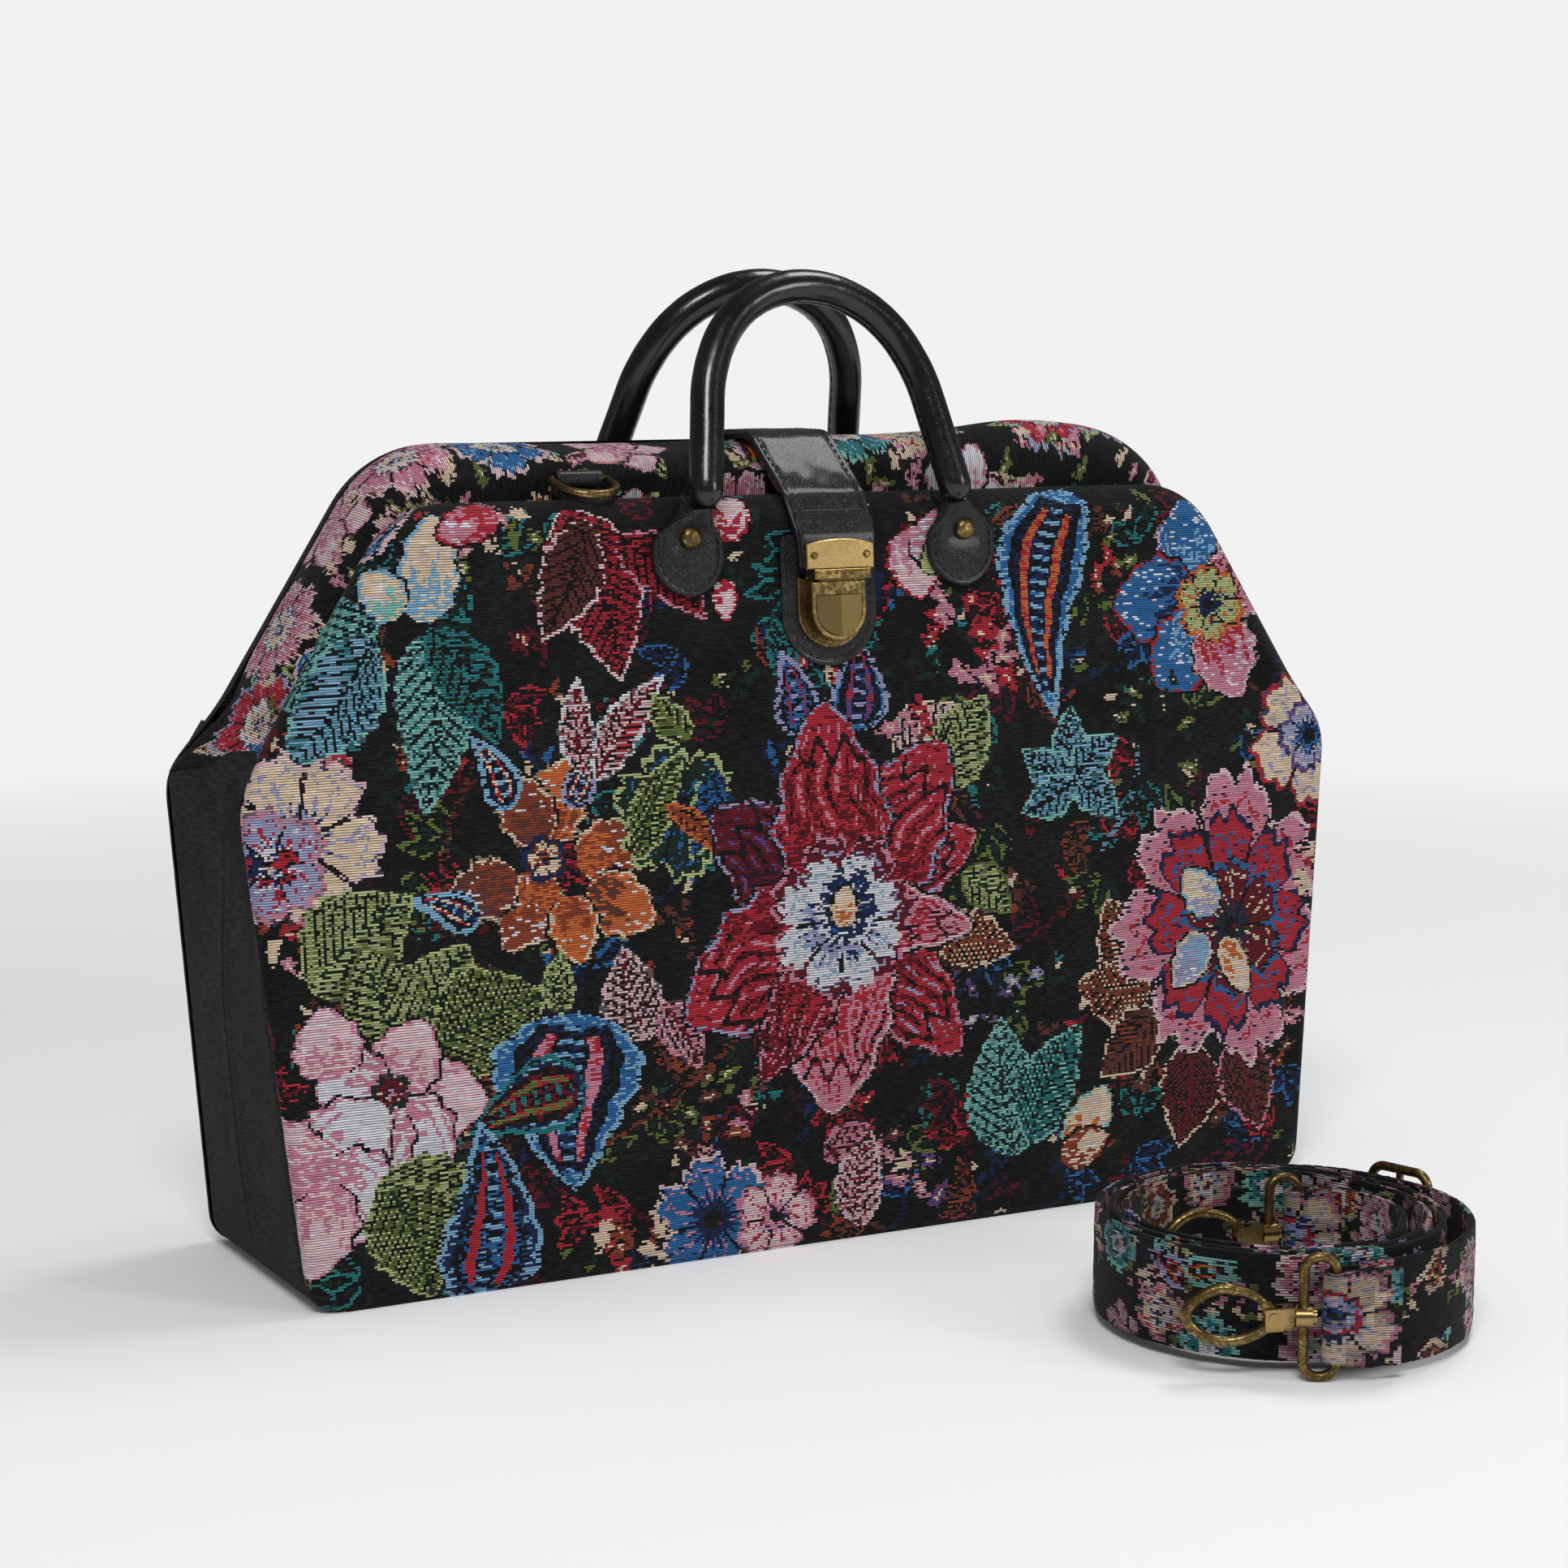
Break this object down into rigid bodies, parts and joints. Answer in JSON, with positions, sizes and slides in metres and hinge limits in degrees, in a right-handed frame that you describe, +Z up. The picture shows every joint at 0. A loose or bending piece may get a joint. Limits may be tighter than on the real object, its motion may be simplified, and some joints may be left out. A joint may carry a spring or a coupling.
{
  "type": "laptop bag",
  "caption": "Tapestry laptop bag with a hinged frame mouth, rolled leather handles, a push-lock closure strap and a detachable shoulder strap coiled beside it.",
  "frame": {"origin": "on the floor under the middle of the bag's base, midway between its front and back", "axes": "+X to the bag's right as seen from the front, +Y towards its back, +Z up"},
  "size_m": [0.4334, 0.3264, 0.3425],
  "materials": {
    "tapestry": "black chenille with a woven flower pattern in red, cream, pink, teal, blue and green",
    "plain_cloth": "plain black chenille",
    "lining_cloth": "smooth dark twill",
    "board": "stiff board covered in cloth",
    "leather": "black, glossy and lightly grained, with black stitching",
    "antique_brass": "aged, dark in the hollows and bright at the edges",
    "frame_steel": "plain bent bar",
    "strap_cloth": "the bag's tapestry, folded and sewn as webbing"
  },
  "bodies": {
    "bag": {"front_panel": "tapestry", "back_panel": "tapestry", "left_gusset": "plain_cloth", "right_gusset": "plain_cloth", "bottom_panel": "plain_cloth", "base_board": "board", "lining": "lining_cloth", "laptop_divider": "lining_cloth", "front_flex": "tapestry", "back_flex": "tapestry", "left_pleat": "plain_cloth", "right_pleat": "plain_cloth", "left_hinge_pin": "frame_steel", "right_hinge_pin": "frame_steel", "strap_webbing": "strap_cloth", "strap_slider": "antique_brass"},
    "front_half": {"front_panel_top": "tapestry", "front_bow": "frame_steel", "front_left_tab": "leather", "front_right_tab": "leather", "front_left_stud": "antique_brass", "front_right_stud": "antique_brass", "lock_patch": "leather", "lock_base": "antique_brass"},
    "back_half": {"back_hood": "tapestry", "back_bow": "frame_steel", "back_left_tab": "leather", "back_right_tab": "leather", "back_left_stud": "antique_brass", "back_right_stud": "antique_brass", "strap_anchor": "leather", "front_ring_strip": "leather", "back_ring_strip": "leather"},
    "flap": {"flap_strap": "leather", "flap_overlay": "leather", "lock_plate": "antique_brass", "left_plate_rivet": "antique_brass", "right_plate_rivet": "antique_brass"},
    "front_handle": {"front_handle": "leather"},
    "back_handle": {"back_handle": "leather"},
    "lock_button": {"lock_button": "antique_brass"},
    "front_d_ring": {"front_d_ring": "antique_brass"},
    "back_d_ring": {"back_d_ring": "antique_brass"},
    "outer_end_ring": {"outer_end_ring": "antique_brass"},
    "inner_end_ring": {"inner_end_ring": "antique_brass"},
    "outer_hook": {"outer_hook": "antique_brass", "outer_gate_rivet": "antique_brass"},
    "inner_hook": {"inner_hook": "antique_brass", "inner_gate_rivet": "antique_brass"},
    "outer_gate": {"outer_gate": "antique_brass"},
    "inner_gate": {"inner_gate": "antique_brass"}
  },
  "joints": [
    {"name": "back_half_hinge", "type": "hinge", "parent": "bag", "child": "back_half", "pos_m": [0, -0.024, 0.188], "axis": [-1, 0, 0], "range_deg": [0, 35], "deforming": ["back_flex", "left_pleat", "right_pleat", "front_flex"]},
    {"name": "front_half_hinge", "type": "hinge", "parent": "bag", "child": "front_half", "pos_m": [0, -0.024, 0.188], "axis": [1, 0, 0], "range_deg": [0, 35], "deforming": ["front_flex", "left_pleat", "right_pleat", "back_flex"]},
    {"name": "flap_hinge", "type": "hinge", "parent": "back_half", "child": "flap", "pos_m": [0, 0.012, 0.284], "axis": [-1, 0, 0], "range_deg": [0, 87.5], "deforming": ["back_flex", "front_flex", "left_pleat", "right_pleat"]},
    {"name": "front_handle_tilt", "type": "hinge", "parent": "front_half", "child": "front_handle", "pos_m": [0, -0.04285, 0.26639], "axis": [1, 0, 0], "range_deg": [-4, 75]},
    {"name": "back_handle_tilt", "type": "hinge", "parent": "back_half", "child": "back_handle", "pos_m": [0, 0.03934, 0.26974], "axis": [-1, 0, 0], "range_deg": [-4, 75]},
    {"name": "lock_press", "type": "slide", "parent": "front_half", "child": "lock_button", "axis": [0, 0.998, -0.0628], "range_m": [0, 0.0015], "stiffness_N_per_m": 300, "springref_m": -0.002},
    {"name": "front_ring_lift", "type": "hinge", "parent": "back_half", "child": "front_d_ring", "pos_m": [-0.087, -0.02, 0.2704], "axis": [-1, 0, 0], "range_deg": [0, 100]},
    {"name": "back_ring_lift", "type": "hinge", "parent": "back_half", "child": "back_d_ring", "pos_m": [0.087, 0.03695, 0.25351], "axis": [1, 0, 0], "range_deg": [0, 120]},
    {"name": "outer_ring_turn", "type": "hinge", "parent": "bag", "child": "outer_end_ring", "pos_m": [0.05448, -0.26366, 0.0206], "axis": [0, 0, 1], "range_deg": [0, 70]},
    {"name": "inner_ring_turn", "type": "hinge", "parent": "bag", "child": "inner_end_ring", "pos_m": [0.1033, -0.17888, 0.0206], "axis": [0, 0, 1], "range_deg": [0, 40]},
    {"name": "outer_swivel", "type": "hinge", "parent": "outer_end_ring", "child": "outer_hook", "pos_m": [0.04582, -0.25866, 0.0206], "axis": [-0.866, 0.5, 0], "range_deg": [-15, 15]},
    {"name": "inner_swivel", "type": "hinge", "parent": "inner_end_ring", "child": "inner_hook", "pos_m": [0.09364, -0.17629, 0.0206], "axis": [-0.9659, 0.2588, 0], "range_deg": [-10, 10]},
    {"name": "outer_gate_hinge", "type": "hinge", "parent": "outer_hook", "child": "outer_gate", "pos_m": [0.03785, -0.25406, 0.0206], "axis": [-0.5, -0.866, 0], "range_deg": [0, 24], "stiffness_Nm_per_rad": 0.02, "springref_deg": -17.19},
    {"name": "inner_gate_hinge", "type": "hinge", "parent": "inner_hook", "child": "inner_gate", "pos_m": [0.08475, -0.17391, 0.0206], "axis": [-0.2588, -0.9659, 0], "range_deg": [0, 24], "stiffness_Nm_per_rad": 0.02, "springref_deg": -17.19}
  ],
  "couplings": [
    {"joint": "front_half_hinge", "follows": "back_half_hinge", "ratio": 1},
    {"joint": "flap_hinge", "follows": "back_half_hinge", "ratio": 2.5}
  ]
}
